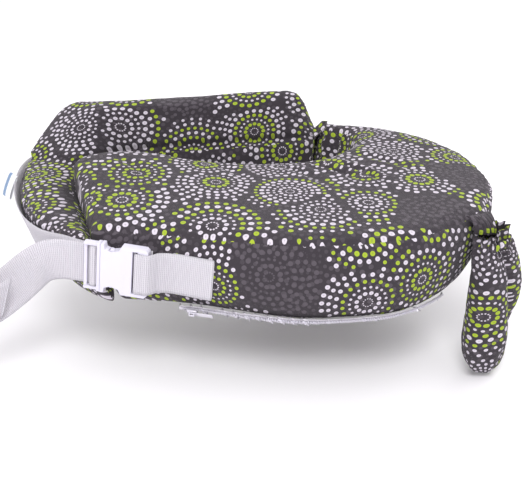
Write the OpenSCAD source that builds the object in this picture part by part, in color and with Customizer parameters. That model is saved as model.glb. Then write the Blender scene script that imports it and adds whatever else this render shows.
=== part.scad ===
// Wrap-around nursing pillow: a firm C-shaped cushion with a raised back rest, a zip-off
// printed cover, a webbing belt with a side-release buckle and a gathered side pouch.
// Millimetres. X runs along the back rest, Y to the back, Z up. The origin is the middle
// of the waist opening at the level of the flat underside.

/* [Cushion] */
// Height of the cushion at its outer top seam
rim_h = 100; // [85:1:115]
// Extra height of the feeding surface at the middle of its width
crown_h = 5; // [0:0.5:10]
// Height of the back rest's low ledge, where it wraps round the left end
ledge_h = 94; // [80:1:100]
// Height of the lumbar ridge
ridge_h = 158; // [140:1:175]
// How far the ends of the cushion lean in towards the underside, as a share of the length
end_lean = 0.14; // [0:0.01:0.16]

/* [Cover] */
// Thickness of the printed cover
cover_t = 1.6; // [1:0.1:2.5]
// Clearance between the foam and its cover
cover_gap = 0.3; // [0.2:0.1:0.6]

/* [Belt] */
// Width of the webbing
web_w = 50; // [38:1:50]
// Thickness of the webbing
web_t = 1.6; // [1.2:0.1:2]
// Height of the belt's middle on the back rest
belt_z = 63; // [55:1:70]
// Length of the webbing tab that carries the socket half of the buckle
tab_len = 62; // [50:1:80]

/* [Buckle] */
// Overall height of the buckle, across the webbing
buckle_w = 60; // [50:1:60]
// Thickness of the buckle
buckle_t = 12; // [10:0.5:14]

/* [Pouch] */
// Height of the pouch below its gathered neck
pouch_h = 184; // [150:1:230]
// Width of the pouch at its fullest
pouch_w = 84; // [60:1:100]
// Depth of the pouch at its fullest
pouch_d = 56; // [40:1:70]

/* [Zip] */
// Width of the zip's chain of teeth
zip_w = 6; // [4:0.5:8]

/* [Hidden] */

fabric_c = [0.29, 0.27, 0.29];
foam_c = [0.93, 0.9, 0.78];
web_c = [0.93, 0.92, 0.95];
plastic_c = [0.9, 0.89, 0.96];

steps_feed = 34;
steps_back = 34;
steps_ridge = 24;
steps_belt = 24;
foam_inset = cover_t + cover_gap;

// Feeding surface: outer x, outer y, inner x, inner y and inner height at each station,
// from the split at the left end, round the front, to the hinge at the back right.
FEED = [[-231, -222, -240, -30, 120], [-180, -241, -222, -8, 122], [-125, -265, -185, 0, 122],
        [-70, -292, -140, -8, 119], [-10, -316, -85, -28, 112], [55, -326, -20, -46, 107],
        [120, -325, 40, -56, 106], [185, -299, 90, -47, 106], [240, -255, 125, -25, 106],
        [276, -195, 148, -2, 106], [290, -120, 158, 22, 106], [283, -45, 161, 40, 106],
        [250, 22, 158, 56, 105], [195, 72, 146, 66, 104], [132, 102, 128, 72, 103]];

// Back rest: outer x, outer y, inner x, inner y and the share of the ridge's height,
// from the tip of the tongue at the front left to the hinge at the back right.
BACK = [[-244, -222, -236.5, -218, 0], [-274, -190, -237.5, -185, 0], [-297, -148, -239, -145, 0],
        [-309, -98, -241, -100, 0], [-313, -45, -243, -58, 0], [-311, 5, -244, -22, 0],
        [-302, 55, -232, 8, 0], [-280, 94, -210, 26, 0.45], [-240, 113, -185, 44, 1],
        [-190, 117, -150, 58, 1], [-110, 117, -100, 62, 1], [-30, 116, -30, 62, 1],
        [50, 114, 45, 62, 1], [95, 109, 95, 64, 0.9], [122, 103, 118, 71, 0]];

function lerp(a, b, t) = a + (b - a) * t;

function spline(a, b, c, d, t) =
    0.5 * (2 * b + (c - a) * t + (2 * a - 5 * b + 4 * c - d) * t * t
           + (3 * b - a - 3 * c + d) * t * t * t);

// A point of the smooth curve through list L, at s from 0 to 1.
function along(L, s) =
    let (n = len(L) - 1, i = min(floor(s * n), n - 1))
    spline(L[max(i - 1, 0)], L[i], L[i + 1], L[min(i + 2, n)], s * n - i);

function arc(cu, cz, r, from, to, n) =
    [for (i = [0:n]) let (a = lerp(from, to, i / n)) [cu + r * cos(a), cz + r * sin(a)]];

// A cross-section, as [distance in from the outer wall, height], inset by d. It runs from
// the underside's outer corner up the outer wall, over the top and down the inner wall.
bottom_r = 13;
seam_r = 8;
lip_r = 20;
wall_bulge = 6;
// The section's points where one cover panel is sewn to the next
OUTER_FOOT = 1;
OUTER_SEAM = 10;
INNER_SEAM = 18;
INNER_FOOT = 24;
SECTION_POINTS = 26;
function top_z(u, w, zo, zi, crown) =
    let (t = max(0, min(1, u / w))) lerp(zo, zi, pow(t, 1.5)) + crown * sin(180 * t);
function section(w, zo, zi, crown, d) =
    let (b = min(bottom_r, w / 3), s = min(seam_r, w / 3), r = min(lip_r, w / 3))
    concat(arc(b, b, b - d, 270, 180, 3),
           [for (h = [0.25, 0.42, 0.6, 0.78])
                [d - wall_bulge * sin(180 * h), lerp(b, zo - s, h)]],
           arc(s, zo - s, s - d, 180, 90, 3),
           [for (k = [1:4]) let (u = lerp(s, w - r, k / 5)) [u, top_z(u, w, zo, zi, crown) - d]],
           arc(w - r, zi - r, r - d, 90, 0, 3),
           [[w - d, lerp(0, zi, 0.62)], [w - d, lerp(0, zi, 0.36)]],
           arc(w - b, b, b - d, 0, -90, 3));

// Places section points between a station's outer and inner points, with the outer wall
// leaning in towards the underside.
function place(st, sec) =
    let (o = [st[0], st[1]], i = [st[2], st[3]], w = norm(i - o), e = (i - o) / w)
    [for (p = sec)
        let (q = o + e * p[0], k = max(0, 1 - p[1] / rim_h))
        [q[0] * (1 - end_lean * pow(k, 1.2)), q[1], p[1]]];

function width_at(st) = norm([st[2] - st[0], st[3] - st[1]]);
function feed_ring(s, d) =
    let (st = along(FEED, s)) place(st, section(width_at(st), rim_h, st[4], crown_h, d));
function back_ring(s, d) =
    let (st = along(BACK, s), w = width_at(st))
    place(st, section(w, ledge_h, ledge_h, min(2, w / 12), d));

// The lumbar ridge stands on the back rest. Its ends slope down to the ledge.
ridge_from = 6.2 / 14;
ridge_to = 13.9 / 14;
ridge_foot = ledge_h + 4;
function ridge_section(w, zt, d) =
    let (r = min(15, (zt - ridge_foot) / 2, w / 3))
    concat([[2 + d, ridge_foot]],
           arc(5 + r, zt - r, r - d, 180, 90, 4),
           arc(w - 14 - r, zt - r, r - d, 90, 0, 4),
           [[w - 2 - d, ridge_foot]]);
function ridge_ring(s, d) =
    let (st = along(BACK, s), rise = max(0.08, min(1, st[4])))
    place(st, ridge_section(width_at(st), lerp(ridge_foot, ridge_h, rise), d));

// A closed solid through equal rings of an even number of points, all in triangles. flip
// turns its faces round for rings that run the other way.
module loft(rings, flip = false) {
    n = len(rings[0]);
    m = len(rings);
    side = [for (j = [0:m - 2]) for (k = [0:n - 1])
                let (l = (k + 1) % n, a = j * n + k, b = a + n, c = (j + 1) * n + l, d = j * n + l)
                each [[a, b, c], [a, c, d]]];
    top = (m - 1) * n;
    ends = [for (k = [0:n / 2 - 2]) let (a = k, b = k + 1, c = n - 2 - k, d = n - 1 - k)
                each [[a, b, c], [a, c, d], [top + b, top + a, top + c], [top + c, top + a, top + d]]];
    faces = concat(side, ends);
    polyhedron(
        points = [for (r = rings) for (p = r) p],
        faces = flip ? [for (f = faces) reversed(f)] : faces,
        convexity = 8);
}

// The strip first..last of a section's points, between insets near and far.
function strip(outer, inner, first, last) =
    let (n = len(outer))
    concat([for (k = [first:last]) outer[k % n]], [for (k = [last:-1:first]) inner[k % n]]);

module feed_panel(first, last) {
    color(fabric_c)
        loft([for (i = [0:steps_feed]) let (s = i / steps_feed)
                  strip(feed_ring(s, 0), feed_ring(s, cover_t), first, last)], flip = true);
}
module back_panel(first, last) {
    color(fabric_c)
        loft([for (i = [0:steps_back]) let (s = i / steps_back)
                  strip(back_ring(s, 0), back_ring(s, cover_t), first, last)]);
}
function shift(ring, v) = [for (p = ring) p + v];
function reversed(ring) = [for (k = [len(ring) - 1:-1:0]) ring[k]];

module feeding_foam() {
    color(foam_c)
        loft([for (i = [0:steps_feed]) feed_ring(i / steps_feed, foam_inset)], flip = true);
}
module feeding_top_panel() { feed_panel(OUTER_SEAM, INNER_SEAM); }
module feeding_outer_band() { feed_panel(OUTER_FOOT, OUTER_SEAM); }
module feeding_inner_band() { feed_panel(INNER_SEAM, INNER_FOOT); }
module feeding_underside_panel() { feed_panel(INNER_FOOT, SECTION_POINTS + OUTER_FOOT); }
// A panel over the foam's end, standing off it by the cover's clearance. out is -1 to the
// left and 1 to the right.
function end_rings(ring, out) =
    [for (t = [cover_gap, cover_gap + cover_t]) shift(ring, [out * t, 0, 0])];
module feeding_end_panels() {
    start = end_rings(feed_ring(0, foam_inset), -1);
    color(fabric_c) {
        loft([start[1], start[0]], flip = true);
        loft(end_rings(feed_ring(1, foam_inset), -1), flip = true);
    }
}

module back_foam() {
    color(foam_c)
        loft([for (i = [0:steps_back]) back_ring(i / steps_back, foam_inset)]);
}
module back_top_panel() { back_panel(OUTER_SEAM, INNER_SEAM); }
module back_outer_band() { back_panel(OUTER_FOOT, OUTER_SEAM); }
module back_inner_band() { back_panel(INNER_SEAM, INNER_FOOT); }
module back_underside_panel() { back_panel(INNER_FOOT, SECTION_POINTS + OUTER_FOOT); }
module back_end_panel() {
    color(fabric_c) loft(end_rings(back_ring(1, foam_inset), 1));
}

module lumbar_ridge_foam() {
    color(foam_c)
        loft([for (i = [0:steps_ridge])
                  reversed(ridge_ring(lerp(ridge_from, ridge_to, i / steps_ridge), foam_inset))],
             flip = true);
}
module ridge_cover() {
    color(fabric_c)
        loft([for (i = [0:steps_ridge])
                  let (s = lerp(ridge_from, ridge_to, i / steps_ridge),
                       o = ridge_ring(s, 0), n = ridge_ring(s, cover_t))
                  strip(o, n, 0, len(o) - 1)]);
}

// The cover's sleeve over the bending neck, from the back rest to the feeding surface.
module hinge_gusset() {
    rings = [for (t = [0.975, 0.99, 1]) [back_ring(t, -0.4), back_ring(t, -0.4 - cover_t)]];
    more = [for (t = [1, 0.992, 0.984]) [feed_ring(t, -0.4), feed_ring(t, -0.4 - cover_t)]];
    color(fabric_c)
        loft([for (r = concat(rings, more)) strip(r[0], r[1], OUTER_FOOT, INNER_SEAM)], flip = true);
}

/* Belt and buckle. strap() is the line they lie on: X runs to the right along the
   webbing, Y into the cushion and Z across the webbing. */
strap_at = [-240.3, -231.5, 62.5];
strap_turn = -22.3;
strap_tilt = 5.3;
module strap() { translate(strap_at) rotate([0, strap_tilt, strap_turn]) children(); }

belt_gap = 0.6;
function belt_ring(s) =
    let (st = along(BACK, s), lo = belt_z - web_w / 2, hi = belt_z + web_w / 2,
         i = -wall_bulge - belt_gap, o = i - web_t)
    place(st, [[i, lo], [o, lo], [o, lo + 24], [o + 3.2, hi - 3], [o + 4.4, hi],
               [i + 4.4, hi], [i + 3.2, hi - 3], [i, lo + 24]]);
belt_from = 0.045;
belt_to = 0.66;
module waist_belt() {
    color(web_c)
        loft([for (i = [0:steps_belt]) belt_ring(lerp(belt_from, belt_to, i / steps_belt))]);
}
module belt_end_patch() {
    // The folded and stitched end of the belt, behind the ridge
    color(web_c)
        loft([for (s = [belt_to - 0.035, belt_to - 0.02, belt_to - 0.004])
                  let (r = belt_ring(s), b = [0, web_t + 0.4, 0]) shift(r, b)]);
}

// Buckle: distances along the strap from the plug's free end
ladder_x = [0, 9];
bar_w = 4;
bar_d = 4.4;
plate_x = 17;
mouth_x = 20.3;
socket_end = 75;
slot_x = 57;
rail = 3.5;
cavity = [33, 7.4, 45];
arm_x = 21;
arm_z = 16;
arm_len = 29;

module buckle_plug() {
    color(plastic_c) strap() {
        union() {
            for (up = [-1, 1]) translate([plate_x / 2, 0, up * (buckle_w / 2 - 2.7)])
                cube([plate_x, 8, rail], center = true);
            for (x = ladder_x) translate([x, -bar_d / 2, -buckle_w / 2 + 1.5])
                cube([bar_w, bar_d, buckle_w - 3]);
            translate([plate_x - 1, -buckle_t / 2, -buckle_w / 2])
                cube([mouth_x - 0.3 - plate_x + 1, buckle_t, buckle_w]);
            translate([plate_x, -3.2, -7]) cube([28, 6.4, 14]);
        }
    }
}

// One sprung arm of the plug, with the barb that catches in the socket's window
module latch_arm(up) {
    color(plastic_c) strap() mirror([0, 0, up ? 0 : 1]) translate([arm_x, 3.2, 0])
        rotate([90, 0, 0]) linear_extrude(6.4)
            polygon([[0, arm_z], [arm_len, arm_z], [arm_len + 2, arm_z + 2],
                     [arm_len - 1, arm_z + 5.4], [15, arm_z + 6], [13.8, arm_z + 7.4],
                     [11, arm_z + 8.4], [9.8, arm_z + 8], [9.2, arm_z + 6],
                     [4.2, arm_z + 5.5], [0, arm_z + 5]]);
}
module latch_arm_upper() { latch_arm(true); }
module latch_arm_lower() { latch_arm(false); }

module buckle_socket() {
    half = buckle_w / 2;
    color(plastic_c) strap() difference() {
        translate([0, buckle_t / 2, 0]) rotate([90, 0, 0]) linear_extrude(buckle_t)
            polygon([[mouth_x, -half], [mouth_x + 4, -half], [mouth_x + 5, 6 - half],
                     [mouth_x + 12, 8.5 - half], [mouth_x + 21, 6 - half],
                     [mouth_x + 24, -half], [socket_end - 3, -half], [socket_end, 3 - half],
                     [socket_end, half - 3], [socket_end - 3, half], [mouth_x + 24, half],
                     [mouth_x + 21, half - 6], [mouth_x + 12, half - 8.5],
                     [mouth_x + 5, half - 6], [mouth_x + 4, half], [mouth_x, half]]);
        translate([mouth_x - 1, -cavity[1] / 2, -cavity[2] / 2]) cube(cavity);
        translate([slot_x, -buckle_t, -web_w / 2 - 1]) cube([6, 2 * buckle_t, web_w + 2]);
    }
}

// Tab: the webbing passes through the socket's slot, doubles back and is sewn to the wall.
// Its inner face runs from sewn_from to sewn_to, both [along, in].
tab_from = slot_x + 1.4;
sewn_from = [socket_end + 24, 8.9];
sewn_to = [socket_end + tab_len + 8, 6];
slot_back = buckle_t / 2 + 0.3;
module tab_webbing() {
    front = -buckle_t / 2 - web_t - 0.2;
    color(web_c) strap() translate([0, 0, -web_w / 2]) linear_extrude(web_w)
        polygon([[tab_from, front], [socket_end, front], [socket_end + 8, 3],
                 sewn_from - [0, web_t], sewn_to - [0, web_t], sewn_to, sewn_from,
                 [socket_end + 8, 3 + web_t], [socket_end + 2.2, slot_back + web_t],
                 [tab_from, slot_back + web_t], [tab_from, slot_back],
                 [socket_end + 0.9, slot_back], [socket_end + 0.9, front + web_t],
                 [tab_from + web_t, front + web_t], [tab_from + web_t, slot_back - 0.2],
                 [tab_from, slot_back - 0.2]]);
}
module tab_stitch_patch() {
    // The second layer under the tab, where it is box-stitched to the band
    in = [0, 0.1];
    color(web_c) strap() translate([0, 0, -web_w / 2]) linear_extrude(web_w)
        polygon([sewn_from + in, sewn_to + in, sewn_to + in + [0, web_t],
                 sewn_from + in + [0, web_t]]);
}

// The webbing from the tongue to the back of the plug
BRIDGE = [[plate_x - 3, 5], [-7, 5], [-14, 8.2], [-22, 11.8], [-27, 13.5]];
module belt_bridge() {
    color(web_c) strap() translate([0, 0, -web_w / 2]) linear_extrude(web_w)
        polygon(concat(BRIDGE, shift(reversed(BRIDGE), [0, web_t])));
}

// Free end of the webbing: over the ladder's middle bar, under its end bar, out to the left
// and folded back. Each row is along, in and up from the ladder, and the webbing's twist.
TAIL = [[15.2, -1, 0, 0], [13.6, -3.6, 0, 0], [8.4, -3.6, 0, 0], [6.6, 0, 0, 0],
        [4.2, 3.1, 0, 0], [-2, 3.3, 0, 0], [-14, 3.2, 0, 0], [-30, 2.6, -1, 4],
        [-46, 2, -6, 14], [-62, -2, -19, 30], [-78, -11, -35, 38], [-95, -25, -50, 40],
        [-109, -39, -59, 34], [-116, -51, -62, 22], [-111, -58, -60, 8], [-97, -49, -51, -6],
        [-78, -33, -40, -12]];
function unit(v) = v / norm(v);
function tail_ring(s, w, t) =
    let (p = along(TAIL, s), q = along(TAIL, min(1, s + 0.002)), r = along(TAIL, max(0, s - 0.002)),
         c = [p[0], p[1], p[2]], go = [q[0] - r[0], q[1] - r[1], q[2] - r[2]],
         wide = [-sin(p[3]), 0, cos(p[3])], flat = unit(cross(go, wide)))
    [c + wide * w / 2 + flat * t / 2, c + wide * w / 2 - flat * t / 2,
     c - wide * w / 2 - flat * t / 2, c - wide * w / 2 + flat * t / 2];
module tail_strip(from, to, w, t, n) {
    color(web_c) strap() loft([for (i = [0:n]) tail_ring(lerp(from, to, i / n), w, t)], flip = true);
}
module belt_tail() { tail_strip(0, 0.985, web_w, web_t, 44); }
module tail_hem() { tail_strip(0.986, 1, web_w + 0.6, 2 * web_t, 2); }

/* Pouch. Each row is the height, centre x and y, half width and half depth of the bag,
   as shares of pouch_h, pouch_w and pouch_d for the last two columns and the height. */
neck_at = [231, -290, 82];
// The way that the wall beside the neck faces, and how far the neck's middle is from it
neck_facing = -51.5;
neck_out = 19.5;
neck_r = 14;
POUCH = [[0, 0, 0, 0.19, 0.28], [-0.05, 0, 0, 0.155, 0.233], [-0.14, 0, 0, 0.225, 0.32],
         [-0.3, 0, -1, 0.36, 0.42], [-0.44, -3, -2, 0.47, 0.5], [-0.6, -6, -3, 0.5, 0.5],
         [-0.75, -9, -4, 0.43, 0.46], [-0.88, -12, -5, 0.32, 0.36], [-0.97, -14, -6, 0.2, 0.24],
         [-1, -14, -6, 0.08, 0.1]];
function oval(c, a, b, n = 24) =
    [for (k = [0:n - 1]) c + [a * cos(360 * k / n), b * sin(360 * k / n), 0]];
function pouch_ring(s) =
    let (p = along(POUCH, s))
    oval([p[1], p[2], p[0] * pouch_h], p[3] * pouch_w, p[4] * pouch_d);
module at_neck() { translate(neck_at) rotate(neck_facing + 90) children(); }
module pouch_bag() { color(fabric_c) at_neck() loft([for (i = [0:22]) pouch_ring(i / 22)], flip = true); }
module pouch_neck_elastic() {
    // Elastic band gathered round the neck
    color(fabric_c) at_neck() translate([0, 0, -14]) difference() {
        cylinder(r = neck_r + 2.4, h = 8, $fn = 64);
        translate([0, 0, -1]) cylinder(r = neck_r + 0.4, h = 10, $fn = 64);
    }
}
module pouch_tab() {
    // Folded tab of cover fabric, sewn into the seam above the pouch
    tab_w = 34;
    color(fabric_c) translate([neck_at[0], neck_at[1], 0]) rotate(neck_facing)
        translate([-neck_out, tab_w / 2, 0]) rotate([90, 0, 0]) linear_extrude(tab_w)
            polygon([[1.2, 98], [3, 97.5], [14, 92], [18, neck_at[2] + 0.5],
                     [14.5, neck_at[2] + 0.5], [11, 89.5], [1.2, 95]]);
}

/* Zip round the front edge of the underside */
zip_from = 0.1;
zip_to = 0.52;
function zip_ring(s, near, far, hi, lo) =
    place(along(FEED, s), concat(arc(bottom_r, bottom_r, bottom_r + near, hi, lo, 3),
                                 arc(bottom_r, bottom_r, bottom_r + far, lo, hi, 3)));
module zip_strip(from, to, near, far, hi, lo, n) {
    loft([for (i = [0:n]) zip_ring(lerp(from, to, i / n), near, far, hi, lo)]);
}
module zip_tape() { color(web_c) zip_strip(zip_from, zip_to, 0.3, 1.1, 252, 205, 24); }
module zip_chain() {
    color(web_c) zip_strip(zip_from + 0.006, zip_to - 0.006, 1.2, 2.8, 242, 242 - zip_w * 4, 24);
}
module zip_end_stops() {
    for (s = [zip_from + 0.001, zip_to - 0.005])
        color("silver") zip_strip(s, s + 0.004, 1.2, 3.4, 244, 216, 2);
}
// The slider sits on the chain, at share slider_s of the way along the front
slider_s = 0.125;
function chain_point(s) =
    place(along(FEED, s), [[bottom_r + bottom_r * cos(228), bottom_r + bottom_r * sin(228)]])[0];
zip_at = chain_point(slider_s);
zip_go = chain_point(slider_s + 0.03) - chain_point(slider_s - 0.01);
zip_turn = atan2(zip_go[1], zip_go[0]);
zip_lean = 42;
module on_zip() { translate(zip_at) rotate([zip_lean, 0, zip_turn]) children(); }
pivot_y = -7.6;
module zip_slider() {
    color("silver") on_zip() {
        translate([-6, -6.4, -4.5]) cube([12, 2.1, 9]);
        for (x = [-3.4, 1.8]) translate([x, -10, -1.8]) cube([1.6, 4, 3.6]);
        translate([-3.4, -10.4, -1.8]) cube([6.8, 1, 3.6]);
    }
}
module zip_pull() {
    color("silver") on_zip() translate([0, pivot_y, 0]) {
        cylinder(r = 0.8, h = 7.2, center = true, $fn = 32);
        for (z = [-3.6, 2.2]) translate([0, -0.6, z]) cube([8, 1.2, 1.4]);
        translate([7, -0.6, -4]) cube([18, 1.2, 8]);
    }
}

// Care label: a folded loop of tape in the seam at the left end
label_s = 5.1 / 14;
module care_label() {
    st = along(BACK, label_s);
    color("white") translate([st[0] - 1, st[1] - 20, 0]) rotate([90, 0, 180]) linear_extrude(34)
        polygon([[-0.5, 91], [2, 92.5], [12.5, 66], [13.5, 60.5], [12, 60], [10.4, 65]]);
}

feeding_foam();
feeding_top_panel();
feeding_outer_band();
feeding_inner_band();
feeding_underside_panel();
feeding_end_panels();
back_foam();
lumbar_ridge_foam();
back_top_panel();
back_outer_band();
back_inner_band();
back_underside_panel();
back_end_panel();
ridge_cover();
hinge_gusset();
waist_belt();
belt_end_patch();
belt_bridge();
belt_tail();
tail_hem();
tab_webbing();
tab_stitch_patch();
buckle_socket();
buckle_plug();
latch_arm_upper();
latch_arm_lower();
pouch_bag();
pouch_neck_elastic();
pouch_tab();
zip_tape();
zip_chain();
zip_end_stops();
zip_slider();
zip_pull();
care_label();
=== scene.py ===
"""The looks of a wrap-around nursing pillow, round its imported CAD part. Metres, in the part's own frame."""

import math

import bpy
import numpy as np
from mathutils import Matrix, Vector, kdtree, noise
from mathutils.bvhtree import BVHTree


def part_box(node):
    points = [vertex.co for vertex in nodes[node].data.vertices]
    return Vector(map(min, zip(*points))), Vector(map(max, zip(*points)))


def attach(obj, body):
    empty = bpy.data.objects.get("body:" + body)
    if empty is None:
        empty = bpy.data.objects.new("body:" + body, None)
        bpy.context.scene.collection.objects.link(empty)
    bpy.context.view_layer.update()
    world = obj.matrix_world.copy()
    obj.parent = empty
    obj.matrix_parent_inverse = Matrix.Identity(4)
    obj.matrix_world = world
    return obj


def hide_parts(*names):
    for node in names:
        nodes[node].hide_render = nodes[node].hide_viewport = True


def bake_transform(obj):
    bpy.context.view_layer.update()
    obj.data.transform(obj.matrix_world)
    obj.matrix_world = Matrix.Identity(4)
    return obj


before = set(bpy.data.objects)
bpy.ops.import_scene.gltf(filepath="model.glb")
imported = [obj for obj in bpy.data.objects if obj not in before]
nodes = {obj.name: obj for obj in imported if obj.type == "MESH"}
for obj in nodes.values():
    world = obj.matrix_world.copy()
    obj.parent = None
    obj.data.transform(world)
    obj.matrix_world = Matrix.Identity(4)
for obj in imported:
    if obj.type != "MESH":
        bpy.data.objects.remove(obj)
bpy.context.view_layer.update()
FLOOR_Z = -0.1022

# ---------------------------------------------------------------- camera, floor and lights


def aim(obj, at, direction):
    obj.location = at
    obj.rotation_mode = "QUATERNION"
    obj.rotation_quaternion = Vector(direction).to_track_quat("-Z", "Y")


def link(obj):
    bpy.context.scene.collection.objects.link(obj)
    return obj


CAMERA_AT = (-0.2712, -1.2730, 0.545)
CAMERA_TURN = math.atan2(0.225, 0.974)
CAMERA_PITCH = math.radians(24)
LOOK = Vector(
    (
        math.sin(CAMERA_TURN) * math.cos(CAMERA_PITCH),
        math.cos(CAMERA_TURN) * math.cos(CAMERA_PITCH),
        -math.sin(CAMERA_PITCH),
    )
)
camera = link(bpy.data.objects.new("camera", bpy.data.cameras.new("camera")))
camera.data.sensor_width = 36
camera.data.lens = 67.92
camera.data.clip_start, camera.data.clip_end = 0.01, 50
camera.data.dof.use_dof = False
aim(camera, CAMERA_AT, LOOK)
bpy.context.scene.camera = camera


def area_light(name, at, target, size, power):
    lamp = bpy.data.lights.new(name, "AREA")
    lamp.shape, lamp.size, lamp.energy = "DISK", size, power
    o = link(bpy.data.objects.new(name, lamp))
    aim(o, at, Vector(target) - Vector(at))
    return o


area_light("key", (-0.35, -1.75, 1.75), (0, -0.1, 0), 0.9, 26)
area_light("fill", (-1.9, -0.5, 0.9), (0, -0.1, 0.05), 1.4, 7)
area_light("rim", (1.5, 0.9, 1.5), (0, -0.1, 0.05), 1.2, 12)
world = bpy.data.worlds.new("studio")
world.use_nodes = True
world.node_tree.nodes["Background"].inputs["Color"].default_value = (1, 0.985, 1, 1)
world.node_tree.nodes["Background"].inputs["Strength"].default_value = 1.05
bpy.context.scene.world = world
bpy.context.scene.view_settings.view_transform = "Standard"

# ---------------------------------------------------------------- shader helpers


class Graph:
    """A material's node tree, with short ways to add nodes. Values are sockets or numbers."""

    def __init__(self, tree):
        self.tree = tree

    def put(self, socket, value):
        if isinstance(value, bpy.types.NodeSocket):
            self.tree.links.new(value, socket)
        elif hasattr(socket.default_value, "__len__") and not hasattr(value, "__len__"):
            socket.default_value = [value] * len(socket.default_value)
        else:
            socket.default_value = value

    def node(self, kind, settings=(), **inputs):
        n = self.tree.nodes.new(kind)
        for key, value in dict(settings).items():
            setattr(n, key, value)
        for key, value in inputs.items():
            self.put(n.inputs[key.replace("_", " ")], value)
        return n

    def math(self, op, a, b=0.0, c=0.0, clamp=False):
        n = self.tree.nodes.new("ShaderNodeMath")
        n.operation, n.use_clamp = op, clamp
        for socket, value in zip(n.inputs, (a, b, c)):
            self.put(socket, value)
        return n.outputs[0]

    def vec(self, op, a, b=(0, 0, 0), scale=1.0):
        n = self.tree.nodes.new("ShaderNodeVectorMath")
        n.operation = op
        self.put(n.inputs[0], a)
        if op == "SCALE":
            self.put(n.inputs["Scale"], scale)
        elif op not in ("LENGTH", "NORMALIZE"):
            self.put(n.inputs[1], b)
        return n.outputs["Value" if op in ("LENGTH", "DOT_PRODUCT") else "Vector"]

    def split(self, v):
        return self.node("ShaderNodeSeparateXYZ", Vector=v).outputs[:3]

    def join(self, x, y, z=0.0):
        return self.node("ShaderNodeCombineXYZ", X=x, Y=y, Z=z).outputs[0]

    def noise(self, vector, scale, detail=2.0, rough=0.5):
        n = self.node("ShaderNodeTexNoise", Vector=vector, Scale=scale, Detail=detail)
        n.inputs["Roughness"].default_value = rough
        return n.outputs[0]

    def mix(self, factor, a, b):
        n = self.node("ShaderNodeMix", {"data_type": "RGBA"})
        self.put(n.inputs[0], factor)
        for socket, value in zip((n.inputs[6], n.inputs[7]), (a, b)):
            self.put(socket, (*value, 1) if isinstance(value, tuple) else value)
        return n.outputs[2]

    def ramp(self, value, low, high, to_low=0.0, to_high=1.0):
        n = self.node("ShaderNodeMapRange", {"clamp": True, "interpolation_type": "SMOOTHSTEP"}, Value=value)
        for key, v in (("From Min", low), ("From Max", high), ("To Min", to_low), ("To Max", to_high)):
            self.put(n.inputs[key], v)
        return n.outputs[0]


def material(name, rough, build, base=None, **principled):
    """A Principled material. build(graph) returns a colour socket or None, a bump height and its depth."""
    m = bpy.data.materials.new(name)
    m.use_nodes = True
    g = Graph(m.node_tree)
    shader = m.node_tree.nodes["Principled BSDF"]
    shader.inputs["Roughness"].default_value = rough
    for key, value in principled.items():
        shader.inputs[key.replace("_", " ")].default_value = value
    if base:
        shader.inputs["Base Color"].default_value = (*base, 1)
    colour, height, depth = build(g)
    if colour:
        m.node_tree.links.new(colour, shader.inputs["Base Color"])
    if height:
        bump = g.node("ShaderNodeBump", Height=height, Strength=1.0, Distance=depth)
        m.node_tree.links.new(bump.outputs[0], shader.inputs["Normal"])
    return m


# ---------------------------------------------------------------- printed cotton

CHARCOAL = (0.031, 0.025, 0.032)
LILAC = (0.66, 0.61, 0.69)
LIME = (0.36, 0.48, 0.022)
SHADE = (0.086, 0.073, 0.088)
RING_STEP = 0.0088
RING_INSET = 0.0026
EDGE = 0.00018
# past this ring, so many more dots, each with so much more radius
RING_CHANGES = (
    (1.5, 0, 0.00180),
    (2.5, 7, -0.00095),
    (3.5, 1, 0.00100),
    (4.5, 2, 0.00035),
    (5.5, 8, -0.0004),
)


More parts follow.
